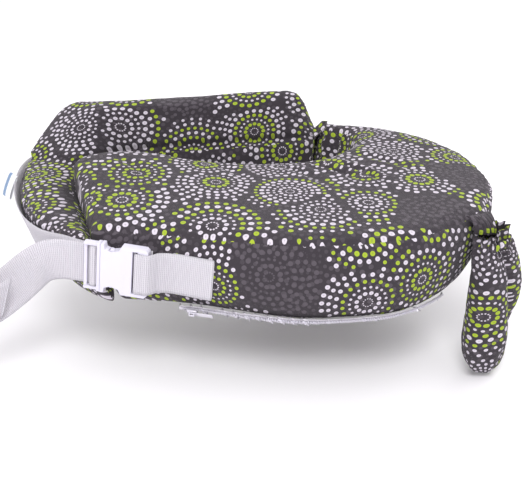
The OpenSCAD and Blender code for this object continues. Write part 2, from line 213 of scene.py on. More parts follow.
def dot_rings(g, point, cell, seed, spread=0.62):
    """Rings of dots round scattered centres.

    Returns a mask, how green the ring is, how dim its medallion is, and the share of the way out in the dot.
    """
    p = g.vec("ADD", point, (seed * 0.371, seed * 0.193, 0))
    settings = {"voronoi_dimensions": "2D", "feature": "F1"}
    near = g.node("ShaderNodeTexVoronoi", settings, Vector=p, Scale=1 / cell, Randomness=spread)
    centre = near.outputs["Position"]
    pick = g.node("ShaderNodeSeparateColor", Color=near.outputs["Color"])
    scale = g.math("MULTIPLY_ADD", pick.outputs[2], 0.26, 0.82)
    step = g.math("MULTIPLY", scale, RING_STEP)
    inset = g.math("MULTIPLY", scale, RING_INSET)
    x, y, _ = g.split(g.vec("SUBTRACT", p, centre))
    radius = g.math("SQRT", g.math("ADD", g.math("MULTIPLY", x, x), g.math("MULTIPLY", y, y)))
    ring = g.math("ROUND", g.math("DIVIDE", g.math("ADD", radius, inset), step))
    ring = g.math("MAXIMUM", ring, 1.0)
    ring_r = g.math("SUBTRACT", g.math("MULTIPLY", ring, step), inset)
    key = g.join(g.math("MULTIPLY", pick.outputs[0], 91.7), g.math("MULTIPLY", ring, 7.31), pick.outputs[1])
    chance = g.node("ShaderNodeTexWhiteNoise", {"noise_dimensions": "3D"}, Vector=key)
    luck = g.node("ShaderNodeSeparateColor", Color=chance.outputs["Color"])
    # dots in each ring from the middle out, and their radii
    count, size = 12.0, 0.00100
    for past, more, wider in RING_CHANGES:
        beyond = g.math("GREATER_THAN", ring, past)
        count = g.math("MULTIPLY_ADD", beyond, more, count)
        size = g.math("MULTIPLY_ADD", beyond, wider, size)
    uneven = g.math("MULTIPLY_ADD", luck.outputs[1], 0.28, 0.88)
    size = g.math("MULTIPLY", size, g.math("MULTIPLY", scale, uneven))
    turned = g.math("DIVIDE", g.math("ARCTAN2", y, x), 2 * math.pi)
    turn = g.math("MULTIPLY_ADD", turned, count, luck.outputs[0])
    middle = g.math("SUBTRACT", g.math("ADD", g.math("FLOOR", turn), 0.5), luck.outputs[0])
    angle = g.math("MULTIPLY", g.math("DIVIDE", middle, count), 2 * math.pi)
    arm_x = g.math("MULTIPLY", g.math("COSINE", angle), ring_r)
    arm_y = g.math("MULTIPLY", g.math("SINE", angle), ring_r)
    arm = g.join(arm_x, arm_y)
    dot = g.vec("ADD", centre, arm)
    flat_p = g.vec("MULTIPLY", p, (1, 1, 0))
    off = g.vec("LENGTH", g.vec("SUBTRACT", flat_p, g.vec("MULTIPLY", dot, (1, 1, 0))))
    settings = {"voronoi_dimensions": "2D", "feature": "DISTANCE_TO_EDGE"}
    rim = g.node("ShaderNodeTexVoronoi", settings, Vector=dot, Scale=1 / cell, Randomness=spread)
    room = g.math("MULTIPLY", rim.outputs["Distance"], cell)
    whole = g.math("GREATER_THAN", room, g.math("ADD", size, 0.0004))
    inside = g.ramp(off, g.math("SUBTRACT", size, EDGE), g.math("ADD", size, EDGE), 1.0, 0.0)
    odd = g.math("MODULO", ring, 2.0)
    green = g.math("MULTIPLY", g.math("LESS_THAN", odd, 0.5), g.math("GREATER_THAN", luck.outputs[2], 0.42))
    faint = g.math("LESS_THAN", pick.outputs[0], 0.05)
    return g.math("MULTIPLY", inside, whole), green, faint, g.math("DIVIDE", off, size)


def cotton(g):
    uv = g.node("ShaderNodeUVMap", {"uv_map": "print"}).outputs[0]
    dim, _, _, _ = dot_rings(g, uv, 0.078, 4.0)
    bright, green, faint, out = dot_rings(g, uv, 0.088, 1.0)
    fade = g.ramp(g.noise(uv, 15.0), 0.38, 0.62)
    colour = g.mix(g.math("MULTIPLY", dim, g.math("MULTIPLY_ADD", fade, 0.5, 0.3)), CHARCOAL, SHADE)
    ink = g.mix(green, LILAC, LIME)
    ink = g.mix(g.ramp(out, 0.2, 0.42, 0.25, 0.0), ink, SHADE)
    ink = g.mix(faint, ink, SHADE)
    colour = g.mix(bright, colour, ink)
    colour = g.mix(g.math("MULTIPLY", g.noise(uv, 900.0), 0.12), colour, (0.2, 0.18, 0.2))
    threads = g.vec("SCALE", uv, scale=2 * math.pi / 0.0009)
    tx, ty, _ = g.split(threads)
    weave = g.math("MULTIPLY", g.math("SINE", tx), g.math("SINE", ty))
    slub = g.noise(uv, 260.0, 3.0)
    return colour, g.math("ADD", g.math("MULTIPLY", weave, 0.35), g.math("MULTIPLY", slub, 0.9)), 0.00035


def ribbed(pitch, depth):
    def build(g):
        uv = g.node("ShaderNodeUVMap", {"uv_map": "print"}).outputs[0]
        u, v, _ = g.split(uv)
        ribs = g.math("SINE", g.math("MULTIPLY", u, 2 * math.pi / pitch))
        shift = g.math("MULTIPLY", g.math("SIGN", ribs), math.pi / 2)
        cords = g.math("SINE", g.math("ADD", g.math("MULTIPLY", v, 2 * math.pi / (pitch * 1.25)), shift))
        height = g.math("ADD", ribs, g.math("MULTIPLY", cords, 0.55))
        # painted shade: the colour darkens toward grey in the low grooves between the ribs, where shade
        # falls, and stays light on the ridges
        ridge_lit_share = g.ramp(height, -1.4, 0.6, 0.62, 1.0)
        colour = g.mix(g.math("SUBTRACT", 1.0, ridge_lit_share), (0.70, 0.675, 0.73), (0.20, 0.185, 0.23))
        return colour, height, depth

    return build


def satin(g):
    at = g.node("ShaderNodeTexCoord").outputs["Object"]
    return None, g.noise(at, 420.0, 3.0), 0.00006


NAP = {"Sheen_Weight": 0.08, "Sheen_Roughness": 0.45, "Specular_IOR_Level": 0.25}
PRINT = material("printed_cotton", 0.86, cotton, **NAP)
WEBBING = material("webbing", 0.7, ribbed(0.0021, 0.0004), Sheen_Weight=0.1, Specular_IOR_Level=0.3)
TAPE = material("zip_tape", 0.75, ribbed(0.0011, 0.00025), Specular_IOR_Level=0.3)
PLASTIC = material("buckle_plastic", 0.33, satin, base=(0.62, 0.60, 0.70), Specular_IOR_Level=0.5)
ENAMEL = material("zip_enamel", 0.3, satin, base=(0.60, 0.58, 0.65), Coat_Weight=0.4)
THREAD = material("thread", 0.7, satin, base=(0.8, 0.79, 0.85), Sheen_Weight=0.3)


def label_cloth(g):
    u, v, _ = g.split(g.node("ShaderNodeUVMap", {"uv_map": "print"}).outputs[0])
    stripe = g.math("LESS_THAN", g.math("ABSOLUTE", g.math("SUBTRACT", v, 0.017)), 0.0035)
    weave = g.math("SINE", g.math("MULTIPLY", u, 2 * math.pi / 0.0006))
    return g.mix(stripe, (0.85, 0.86, 0.9), (0.16, 0.27, 0.45)), weave, 0.0001


LABEL = material("label_tape", 0.5, label_cloth, Sheen_Weight=0.2)

# ---------------------------------------------------------------- mesh helpers


def mesh_object(name, verts, faces, mat, uv=None):
    data = bpy.data.meshes.new(name)
    data.from_pydata([tuple(map(float, v)) for v in verts], [], [tuple(map(int, f)) for f in faces])
    data.materials.append(mat)
    if uv is not None:
        layer = data.uv_layers.new(name="print")
        index = np.zeros(len(data.loops), np.int32)
        data.loops.foreach_get("vertex_index", index)
        layer.data.foreach_set("uv", np.asarray(uv, np.float32)[index].ravel())
    data.polygons.foreach_set("use_smooth", [True] * len(data.polygons))
    data.update()
    return link(bpy.data.objects.new(name, data))


def coords(obj):
    co = np.zeros(len(obj.data.vertices) * 3, np.float32)
    obj.data.vertices.foreach_get("co", co)
    return co.reshape(-1, 3).astype(float)


def set_coords(obj, co):
    obj.data.vertices.foreach_set("co", np.asarray(co, np.float32).ravel())
    obj.data.update()


def normals(obj):
    n = np.zeros(len(obj.data.vertices) * 3, np.float32)
    obj.data.vertex_normals.foreach_get("vector", n)
    return n.reshape(-1, 3).astype(float)


def apply_modifier(obj, kind, **settings):
    m = obj.modifiers.new(kind, kind)
    for key, value in settings.items():
        setattr(m, key, value)
    dg = bpy.context.evaluated_depsgraph_get()
    mesh = bpy.data.meshes.new_from_object(obj.evaluated_get(dg))
    obj.modifiers.remove(m)
    old = obj.data
    obj.data = mesh
    bpy.data.meshes.remove(old)
    return obj


def spline(rows, n):
    """n points of the smooth curve through the rows."""
    rows = np.asarray(rows, float)
    last = len(rows) - 1
    out = []
    for s in np.linspace(0, last, n):
        i = min(int(s), last - 1)
        t = s - i
        a, b, c, d = rows[max(i - 1, 0)], rows[i], rows[i + 1], rows[min(i + 2, last)]
        out.append(
            0.5 * (2 * b + (c - a) * t + (2 * a - 5 * b + 4 * c - d) * t * t + (3 * b - a - 3 * c + d) * t**3)
        )
    return np.array(out)


def even(points, step):
    """The same line with points every step metres, and the first arrays' values carried along."""
    points = np.asarray(points, float)
    run = np.concatenate([[0], np.cumsum(np.linalg.norm(np.diff(points[:, :3], axis=0), axis=1))])
    n = max(3, int(run[-1] / step) + 1)
    at = np.linspace(0, run[-1], n)
    return np.stack([np.interp(at, run, points[:, k]) for k in range(points.shape[1])], 1), run[-1]


def ribbon(name, line, wide, width, thick, mat, across=10):
    """A woven strip along line (n by 3), wide across the unit vectors wide, with thin selvedges."""
    line, wide = np.asarray(line, float), np.asarray(wide, float)
    wide /= np.linalg.norm(wide, axis=1)[:, None]
    go = np.gradient(line, axis=0)
    flat = np.cross(go, wide)
    flat /= np.linalg.norm(flat, axis=1)[:, None] + 1e-12
    width = np.broadcast_to(width, len(line))
    share = np.linspace(-0.5, 0.5, across + 1)
    half = thick / 2 * np.minimum(1, 0.35 + 0.65 * np.minimum(1, (0.5 - abs(share)) * 14))
    ring = [(s, h) for s, h in zip(share, half)] + [(s, -h) for s, h in zip(share[::-1], half[::-1])]
    run = np.concatenate([[0], np.cumsum(np.linalg.norm(np.diff(line, axis=0), axis=1))])
    verts, uv, m = [], [], len(ring)
    for i in range(len(line)):
        for s, h in ring:
            verts.append(line[i] + wide[i] * s * width[i] + flat[i] * h)
            uv.append((run[i], (s + 0.5) * width[i]))
    faces = [
        (i * m + k, i * m + (k + 1) % m, (i + 1) * m + (k + 1) % m, (i + 1) * m + k)
        for i in range(len(line) - 1)
        for k in range(m)
    ]
    last = (len(line) - 1) * m
    faces += [tuple(range(m))[::-1], tuple(last + k for k in range(m))]
    return mesh_object(name, verts, faces, mat, uv)


def stitches(name, line, up, length=0.0028, gap=0.0012, radius=0.0004):
    """A row of thread stitches along line, standing on the side that up points to."""
    both, _ = even(np.hstack([line, up]), (length + gap) / 2)
    verts, faces = [], []
    for i in range(0, len(both) - 2, 2):
        a, b = both[i, :3], both[i + 1, :3] + (both[i + 2, :3] - both[i + 1, :3]) * 0.4
        n = both[i, 3:] / (np.linalg.norm(both[i, 3:]) + 1e-12)
        go = (b - a) / (np.linalg.norm(b - a) + 1e-12)
        side = np.cross(go, n)
        start = len(verts)
        for t, r in ((0, 0.35), (0.2, 0.9), (0.5, 1.0), (0.8, 0.9), (1, 0.35)):
            c = a + (b - a) * t + n * radius * (0.5 * math.sin(math.pi * t))
            for k in range(6):
                q = 2 * math.pi * k / 6
                verts.append(c + (side * math.cos(q) + n * math.sin(q)) * radius * r)
        for j in range(4):
            low, high = start + j * 6, start + (j + 1) * 6
            faces += [(low + k, low + (k + 1) % 6, high + (k + 1) % 6, high + k) for k in range(6)]
    return mesh_object(name, verts, faces, THREAD, np.zeros((len(verts), 2)))


def tree_of(o):
    corners = [v.co.copy() for v in o.data.vertices]
    return BVHTree.FromPolygons(corners, [tuple(p.vertices) for p in o.data.polygons])


# ---------------------------------------------------------------- outlines of the CAD bands


class Wall:
    """A CAD band's outline seen from above, as angle round a middle, with the run along it."""

    def __init__(self, node, middle, low, high, turned=0.0):
        co = coords(nodes[node])
        co = co[(co[:, 2] > low) & (co[:, 2] < high)]
        self.middle, self.turned = np.array(middle), turned
        angle = self.angle(co)
        radius = np.hypot(*(co[:, :2] - self.middle).T)
        self.angles = np.linspace(angle.min(), angle.max(), 160)
        near = [radius[np.abs(angle - a) < 0.035] for a in self.angles]
        self.radii = np.array([r.max() if len(r) else np.nan for r in near])
        bad = np.isnan(self.radii)
        self.radii[bad] = np.interp(self.angles[bad], self.angles[~bad], self.radii[~bad])
        self.radii = np.convolve(np.pad(self.radii, 2, mode="edge"), np.ones(5) / 5, mode="valid")
        at = self.at(self.angles)
        self.run = np.concatenate([[0], np.cumsum(np.linalg.norm(np.diff(at, axis=0), axis=1))])

    def angle(self, co):
        d = np.asarray(co)[:, :2] - self.middle
        return (np.arctan2(d[:, 1], d[:, 0]) - self.turned) % (2 * math.pi) + self.turned

    def at(self, angle):
        r = np.interp(angle, self.angles, self.radii)
        return self.middle + np.stack([r * np.cos(angle), r * np.sin(angle)], 1)

    def along(self, co):
        return np.interp(self.angle(co), self.angles, self.run)


feed_wall = Wall("feeding_outer_band", (0.03, -0.11), 0.04, 0.085, -math.pi)
back_wall = Wall("back_outer_band", (-0.06, -0.05), 0.04, 0.085, 0.0)

# ---------------------------------------------------------------- cushion covers

VOXEL = 0.0042
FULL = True


def shell(name, sources, voxel=VOXEL, grow=0.0017):
    """One closed skin round copies of CAD foam blocks, at the cover's outside."""
    verts, faces = [], []
    for s in sources:
        o = nodes[s]
        start = len(verts)
        verts += [v.co.copy() for v in o.data.vertices]
        faces += [[start + k for k in p.vertices] for p in o.data.polygons]
    o = mesh_object(name, verts, faces, PRINT)
    apply_modifier(o, "WELD", merge_threshold=0.00005)
    apply_modifier(o, "REMESH", mode="VOXEL", voxel_size=voxel, use_smooth_shade=True)
    apply_modifier(o, "SMOOTH", factor=0.5, iterations=5)
    set_coords(o, coords(o) + normals(o) * grow)
    return o


def puff(o, cap, pressure=4.0, frames=18, shrink=0.0008):
    """Fills the skin by a short cloth simulation under inside pressure. No point moves further than cap."""
    rest = coords(o)
    set_coords(o, rest - normals(o) * shrink)
    start = coords(o)
    scene = bpy.context.scene
    cloth = o.modifiers.new("cloth", "CLOTH")
    s = cloth.settings
    s.quality, s.mass, s.air_damping = 4, 0.25, 6.0
    s.use_pressure, s.uniform_pressure_force = True, pressure
    s.tension_stiffness = s.compression_stiffness = 25
    s.shear_stiffness, s.bending_stiffness = 12, 0.4
    s.effector_weights.gravity = 0.0
    cloth.collision_settings.use_collision = False
    cloth.point_cache.frame_start, cloth.point_cache.frame_end = 1, frames
    for f in range(1, frames + 1):
        scene.frame_set(f)
    dg = bpy.context.evaluated_depsgraph_get()
    mesh = o.evaluated_get(dg).to_mesh()
    co = np.zeros(len(mesh.vertices) * 3, np.float32)
    mesh.vertices.foreach_get("co", co)
    co = co.reshape(-1, 3).astype(float)
    o.evaluated_get(dg).to_mesh_clear()
    o.modifiers.remove(cloth)
    scene.frame_set(1)
    move = co - start
    move -= np.median(move, axis=0)
    far = np.linalg.norm(move, axis=1)[:, None] + 1e-12
    set_coords(o, start + move * np.minimum(1, cap / far))


def seam_points(a, b):
    """Where two CAD panels' edges meet."""
    tree = kdtree.KDTree(len(nodes[b].data.vertices))
    for i, v in enumerate(nodes[b].data.vertices):
        tree.insert(v.co, i)
    tree.balance()
    return np.array([list(v.co) for v in nodes[a].data.vertices if tree.find(v.co)[2] < 0.0001])


def on_surface(o, line):
    """The nearest points of o to a line, and its normals there."""
    tree = tree_of(o)
    hits = [tree.find_nearest(Vector(p)) for p in line]
    return np.array([list(h[0]) for h in hits]), np.array([list(h[1]) for h in hits])


def distance_to(co, line):
    tree = kdtree.KDTree(len(line))
    for i, p in enumerate(line):
        tree.insert(Vector(p), i)
    tree.balance()
    return np.array([tree.find(Vector(p))[2] for p in co])


def seam_groove(co, nrm, line, depth=0.0014, width=0.0026, lip=0.0007):
    d = distance_to(co, line)
    raised = lip * np.exp(-(((d - 2.1 * width) / (0.9 * width)) ** 2))
    sunk = depth * np.exp(-((d / width) ** 2))
    return co + nrm * (raised - sunk)[:, None]


def field(co, scale, seed, stretch=(1, 1, 1)):
    off = Vector((seed * 7.1, seed * 3.3, seed * 5.7))
    s = np.array(stretch) * scale
    return np.array([noise.noise(Vector(p * s) + off) for p in co])


def crease(co, nrm, lines):
    """Soft folds: each line is a start, an end, a depth and a width."""
    for a, b, depth, width in lines:
        a, b = np.array(a), np.array(b)
        d = b - a
        t = np.clip(((co[:, :2] - a) @ d) / (d @ d), -0.2, 1.2)
        bow = 0.006 * np.sin(math.pi * t)
        side = np.array([-d[1], d[0]]) / np.linalg.norm(d)
        far = (co[:, :2] - (a + t[:, None] * d)) @ side - bow
        fade = np.clip(np.sin(math.pi * np.clip(t, 0, 1)), 0, 1) ** 0.7
        up = np.clip(nrm[:, 2], 0, 1) ** 2
        shoulder = np.exp(-(((np.abs(far) - 1.7 * width) / (0.8 * width)) ** 2))
        near = np.exp(-((far / width) ** 2)) - 0.6 * shoulder
        inside = (t > 0) & (t < 1)
        co = co - nrm * (depth * near * fade * up * inside)[:, None]
    return co


def print_coords(o, panels, maps):
    """Lays the print on o: each face takes the mapping of the CAD panel that it's nearest to."""
    trees = [tree_of(nodes[p]) for p in panels]
    data = o.data
    co, nrm = coords(o), normals(o)
    count = len(data.polygons)
    mid = np.zeros(count * 3, np.float32)
    data.polygons.foreach_get("center", mid)
    mid = mid.reshape(-1, 3)
    which = np.zeros(count, int)
    for i, p in enumerate(mid):
        v = Vector(p.tolist())
        which[i] = min(range(len(trees)), key=lambda k: trees[k].find_nearest(v)[3])
    laid = np.stack([m(co, nrm) for m in maps])
    index = np.zeros(len(data.loops), np.int32)
    data.loops.foreach_get("vertex_index", index)
    totals = np.zeros(count, np.int32)
    data.polygons.foreach_get("loop_total", totals)
    face = np.repeat(np.arange(count), totals)
    layer = data.uv_layers.new(name="print")
    layer.data.foreach_set("uv", laid[which[face], index].astype(np.float32).ravel())


def flat_map(co, nrm):
    return np.stack([co[:, 0], co[:, 1]], 1)


def wall_map(wall, offset):
    return lambda co, nrm: np.stack([wall.along(co) + offset, co[:, 2] * 1.05 + offset], 1)


def inner_map(co, nrm):
    across = np.where(np.abs(nrm[:, 0]) > np.abs(nrm[:, 1]), co[:, 1], co[:, 0])
    return np.stack([across + 0.4, co[:, 2] + 0.7], 1)


def ridge_map(co, nrm):
    behind = nrm[:, 1] > 0.45
    v = np.where(behind, co[:, 1] - co[:, 2] + 0.9, co[:, 1] + co[:, 2] + 0.55)
    return np.stack([co[:, 0] - 0.35 * co[:, 1], v], 1)


TOP_FOLDS = [
    ((0.055, -0.075), (0.105, -0.160), 0.0042, 0.0065),
    ((0.085, -0.080), (0.135, -0.175), 0.0036, 0.0060),
    ((0.020, -0.090), (0.060, -0.165), 0.0026, 0.0070),
    ((0.120, -0.055), (0.190, -0.150), 0.0024, 0.0080),
    ((-0.190, -0.030), (-0.150, -0.120), 0.0022, 0.0080),
    ((-0.070, -0.060), (-0.030, -0.140), 0.0018, 0.0080),
]


def finish_cover(o, seams, folds, seed):
    apply_modifier(o, "SUBSURF", levels=1, render_levels=1)
    co, nrm = coords(o), normals(o)
    steep = 1 - np.clip(np.abs(nrm[:, 2]), 0, 1)
    lumps = 0.0011 * field(co, 14.0, seed) + 0.0005 * field(co, 42.0, seed + 1)
    pulls = 0.0011 * field(co, 34.0, seed + 2, (1, 1, 0.22)) * steep
    co = co + nrm * (lumps + pulls)[:, None]
    co = crease(co, nrm, folds)
    for line in seams:
        line, _ = on_surface(o, line)
        d = distance_to(co, line)
        pucker = 0.0008 * field(co, 105.0, seed + 3) * np.exp(-((d / 0.012) ** 2))
        co = co + nrm * pucker[:, None]
        co = seam_groove(co, nrm, line)
    set_coords(o, co)
    return o


def ordered(points, wall):
    """Seam points in order round the wall's middle, outermost at each angle, close together."""
    a = wall.angle(points)
    at = np.linspace(a.min(), a.max(), 420)
    keep = []
    r = np.hypot(*(points[:, :2] - wall.middle).T)
    for x in np.linspace(a.min(), a.max(), 90):
        k = np.abs(a - x) < 0.04
        if k.any():
            j = np.argmax(np.where(k, r, -1))
            keep.append((a[j], *points[j]))
    keep = np.array(sorted(set(map(tuple, keep))))
    return np.stack([np.interp(at, keep[:, 0], keep[:, i]) for i in (1, 2, 3)], 1)


feed = shell("feeding_cover", ["feeding_foam"])
back = shell("back_cover", ["back_foam", "lumbar_ridge_foam"], grow=0.0019)
if FULL:
    puff(feed, 0.0030)
    puff(back, 0.0030)

feed_seam = ordered(seam_points("feeding_top_panel", "feeding_outer_band"), feed_wall)
back_seam = ordered(seam_points("back_top_panel", "back_outer_band"), back_wall)
finish_cover(feed, [feed_seam], TOP_FOLDS, 1.0)
finish_cover(back, [back_seam], [], 5.0)
print_coords(
    feed,
    ["feeding_top_panel", "feeding_outer_band", "feeding_inner_band", "feeding_underside_panel"],
    [flat_map, wall_map(feed_wall, 0.31), inner_map, flat_map],
)
print_coords(
    back,
    ["ridge_cover", "back_top_panel", "back_outer_band", "back_inner_band", "back_underside_panel"],
    [ridge_map, ridge_map, wall_map(back_wall, 1.23), inner_map, flat_map],
)
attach(feed, "cushion")
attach(back, "back_rest")
FEEDING_PIECES = (
    "feeding_foam",
    "feeding_top_panel",
    "feeding_outer_band",
    "feeding_inner_band",
    "feeding_underside_panel",
    "feeding_end_panels",
)
BACK_PIECES = (
    "back_foam",
    "lumbar_ridge_foam",
    "back_top_panel",
    "back_outer_band",
    "back_inner_band",
    "back_underside_panel",
    "back_end_panel",
    "ridge_cover",
)
for cover, covered in ((feed, FEEDING_PIECES), (back, BACK_PIECES)):
    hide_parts(*covered)

# the sleeve over the bending neck
neck = shell("neck_sleeve", ["hinge_gusset"], voxel=0.0012, grow=0.0004)
neck_co = coords(neck)
layer = neck.data.uv_layers.new(name="print")
index = np.zeros(len(neck.data.loops), np.int32)
neck.data.loops.foreach_get("vertex_index", index)
neck_nrm = normals(neck)
neck_wall = inner_map(neck_co, neck_nrm) + [[0.2, 0.1]]
neck_uv = np.where(np.abs(neck_nrm[:, 2:3]) > 0.6, flat_map(neck_co, neck_nrm), neck_wall)
layer.data.foreach_set("uv", neck_uv[index].astype(np.float32).ravel())
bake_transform(neck)
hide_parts("hinge_gusset")

# ---------------------------------------------------------------- belt, tab and tail

STRAP_AT = np.array([-0.2403, -0.2315, 0.0625])
STRAP_TURN = Matrix.Rotation(math.radians(-22.3), 3, "Z")
STRAP_TILT = Matrix.Rotation(math.radians(5.3), 3, "Y")
STRAP = np.array(STRAP_TURN @ STRAP_TILT)
WEB_W = 0.050
WEB_T = 0.0016


def strap(rows):
    """Points in the frame from rows of distance along the webbing, in and up, in millimetres."""
    return STRAP_AT + (np.asarray(rows, float)[:, :3] / 1000) @ STRAP.T


def strap_wide(n):
    return np.tile(STRAP @ np.array([0, 0, 1.0]), (n, 1))


belt_co = coords(nodes["waist_belt"])
belt_angle = back_wall.angle(belt_co)
belt_rows = []
for x in np.linspace(belt_angle.min() + 0.02, belt_angle.max() - 0.09, 60):
    k = np.abs(belt_angle - x) < 0.045
    if k.sum() > 3:
        c = belt_co[k]
        top, low = c[c[:, 2] > c[:, 2].max() - 0.004].mean(0), c[c[:, 2] < c[:, 2].min() + 0.004].mean(0)
        belt_rows.append(np.concatenate([(top + low) / 2, top - low]))
belt_rows = np.array(belt_rows)
bridge = np.array([[-27, 14.3, -1], [-22, 12.6, 0], [-14, 9.0, 0], [-7, 5.8, 0], [2, 5.8, 0], [14, 5.8, 0]])
bridge_rows = np.hstack([strap(bridge), strap_wide(len(bridge)) * WEB_W])
belt_line = spline(np.vstack([belt_rows[:-2], bridge_rows]), 260)
belt_line, _ = even(belt_line, 0.004)
padded = [np.pad(column, 3, mode="edge") for column in belt_line.T]
smooth = np.stack([np.convolve(column, np.ones(7) / 7, mode="valid") for column in padded], 1)
# the puffed cover needs this much room under the belt, away from the buckle
BELT_LIFT = 0.0028
from_middle = smooth[:, :2] - [0, -0.12]
from_middle /= np.linalg.norm(from_middle, axis=1)[:, None]
from_buckle = np.linalg.norm(smooth[:, :3] - STRAP_AT, axis=1)
lift = BELT_LIFT * np.clip((from_buckle - 0.035) / 0.03, 0, 1)
smooth[:, :2] += from_middle * lift[:, None]
belt = ribbon("waist_belt_webbing", smooth[:, :3], smooth[:, 3:], WEB_W, WEB_T, WEBBING)
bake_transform(belt)
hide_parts("waist_belt", "belt_bridge")

TAB = [
    [77.0, 7.1, 0], [70, 7.1, 0], [61.5, 7.0, 0], [59.6, 4.5, 0], [59.3, 0, 0], [59.6, -4.5, 0],
    [61.5, -6.9, 0], [68, -7.1, 0], [74.5, -6.9, 0], [80, -1.5, 0], [85, 4.2, 0],
    [99, 8.0, 0], [122, 6.9, 0], [144, 5.2, 0],
    [147, 6.0, 0], [144.5, 7.2, 0], [122, 8.6, 0], [100, 9.9, 0],
]
tab_line, _ = even(strap(spline(TAB, 200)), 0.0015)
tab = ribbon("tab_webbing_strip", tab_line, strap_wide(len(tab_line)), WEB_W, WEB_T, WEBBING)
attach(tab, "cushion")
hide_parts("tab_webbing", "tab_stitch_patch")

TAIL = [
    [15.2, -1, 0, 0], [13.6, -3.6, 0, 0], [8.4, -3.6, 0, 0], [6.6, 0, 0, 0], [4.2, 3.1, 0, 0],
    [-2, 3.3, 0, 0], [-14, 3.2, 0, 0], [-30, 2.6, -1, 4], [-46, 2, -6, 14], [-62, -2, -19, 30],
    [-78, -11, -35, 38],
    [-95, -25, -50, 40], [-109, -39, -59, 34], [-116, -51, -62, 22], [-111, -58, -60, 8], [-97, -49, -51, -6],
    [-78, -33, -40, -12],
]
tail_rows = spline(TAIL, 240)
twist = np.radians(tail_rows[:, 3])
tail_wide = np.stack([-np.sin(twist), np.zeros(len(twist)), np.cos(twist)], 1) @ STRAP.T
tail_rows, TAIL_LENGTH = even(np.hstack([strap(tail_rows), tail_wide]), 0.003)
tail = ribbon("belt_tail_webbing", tail_rows[:, :3], tail_rows[:, 3:], WEB_W, WEB_T, WEBBING, across=14)
hem_rows = tail_rows[-7:]
hem = ribbon("belt_tail_hem", hem_rows[:, :3], hem_rows[:, 3:], WEB_W + 0.0006, 2 * WEB_T, WEBBING)
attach(tail, "plug")
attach(hem, "plug")
for piece, node in ((tail, "belt_tail"), (hem, "tail_hem")):
    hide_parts(node)


def across_stitches(name, rows, at, thick, side, body):
    """A row of stitches straight across a strip, at one of its rows."""
    c, w = rows[at, :3], rows[at, 3:6] / np.linalg.norm(rows[at, 3:6])
    go = rows[min(at + 1, len(rows) - 1), :3] - rows[max(at - 1, 0), :3]
    up = np.cross(go, w)
    up = side * up / np.linalg.norm(up)
    line = np.array([c + w * s * (WEB_W - 0.006) + up * thick / 2 for s in np.linspace(-0.5, 0.5, 30)])
    o = stitches(name, line, np.tile(up, (len(line), 1)))
    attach(o, body)
    return o


hem_stitch = [
    across_stitches(f"hem_stitch_{i}", tail_rows, len(tail_rows) - k, 2 * WEB_T, side, "plug")
    for i, (k, side) in enumerate(((6, 1), (6, -1), (2, 1), (2, -1)))
]
tab_rows = np.hstack([tab_line, strap_wide(len(tab_line))])
front_run = np.where((tab_line - strap([[100, 0, 0]])[0]) @ STRAP[:, 0] > 0)[0]
for i, k in enumerate((front_run[2], front_run[len(front_run) // 2 - 6])):
    across_stitches(f"tab_stitch_{i}", tab_rows, int(k), WEB_T, -1, "cushion")

# the belt's folded end behind the ridge
fold_rows = smooth[:6]
patch = ribbon("belt_end_fold", fold_rows[:, :3] + [0, 0.0022, 0], fold_rows[:, 3:], WEB_W, WEB_T, WEBBING)
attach(patch, "back_rest")
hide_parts("belt_end_patch")

# ---------------------------------------------------------------- buckle and zip hardware, from CAD


def dress(node, mat, width, segments=3):
    o = nodes[node]
    o.data.materials.clear()
    o.data.materials.append(mat)
    o.data.polygons.foreach_set("use_smooth", [True] * len(o.data.polygons))
    weld = o.modifiers.new("weld", "WELD")
    weld.merge_threshold = 0.00002
    bevel = o.modifiers.new("round", "BEVEL")
    bevel.width, bevel.segments, bevel.limit_method = width, segments, "ANGLE"
    bevel.angle_limit = math.radians(28)
    bevel.harden_normals = True
    return o


dress("buckle_socket", PLASTIC, 0.0022, 4)
dress("buckle_plug", PLASTIC, 0.0011)
dress("latch_arm_upper", PLASTIC, 0.0011)
dress("latch_arm_lower", PLASTIC, 0.0011)
dress("zip_slider", ENAMEL, 0.0005)
dress("zip_pull", ENAMEL, 0.0004)
dress("zip_end_stops", ENAMEL, 0.0003)

# ---------------------------------------------------------------- zip tape and teeth

chain = coords(nodes["zip_chain"])
chain_angle = feed_wall.angle(chain)
rows = []
for x in np.linspace(chain_angle.min(), chain_angle.max(), 70):
    k = np.abs(chain_angle - x) < 0.02
    if k.sum() > 2:
        rows.append(chain[k].mean(0))
zip_line, _ = even(spline(np.array(rows), 300), 0.0015)
zip_go = np.gradient(zip_line, axis=0)
zip_go /= np.linalg.norm(zip_go, axis=1)[:, None]
level = np.cross([0, 0, 1.0], zip_go)
level /= np.linalg.norm(level, axis=1)[:, None]
if (level[len(level) // 2] @ (zip_line[len(level) // 2] - [0.03, -0.11, 0])) < 0:
    level = -level
ZIP_FACE = math.radians(45)
zip_out = level * math.cos(ZIP_FACE) - np.array([0, 0, 1.0]) * math.sin(ZIP_FACE)
zip_wide = np.cross(zip_go, zip_out)
tape = ribbon("zip_tape_strip", zip_line - zip_out * 0.0012, zip_wide, 0.013, 0.0009, TAPE)
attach(tape, "cushion")
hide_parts("zip_tape")
verts, faces = [], []
BOX = [(x, y, z) for x in (-1, 1) for y in (-1, 1) for z in (-1, 1)]
BOX_FACES = [(0, 1, 3, 2), (4, 6, 7, 5), (0, 4, 5, 1), (2, 3, 7, 6), (0, 2, 6, 4), (1, 5, 7, 3)]
for i in range(2, len(zip_line) - 2):
    side = 1 if i % 2 else -1
    c = zip_line[i] + zip_wide[i] * side * 0.0011 + zip_out[i] * 0.0004
    for x, y, z in BOX:
        verts.append(c + zip_go[i] * x * 0.0005 + zip_wide[i] * y * 0.0019 + zip_out[i] * z * 0.0009)
    faces += [tuple(len(verts) - 8 + k for k in f) for f in BOX_FACES]
teeth = mesh_object("zip_teeth", verts, faces, ENAMEL, np.zeros((len(verts), 2)))
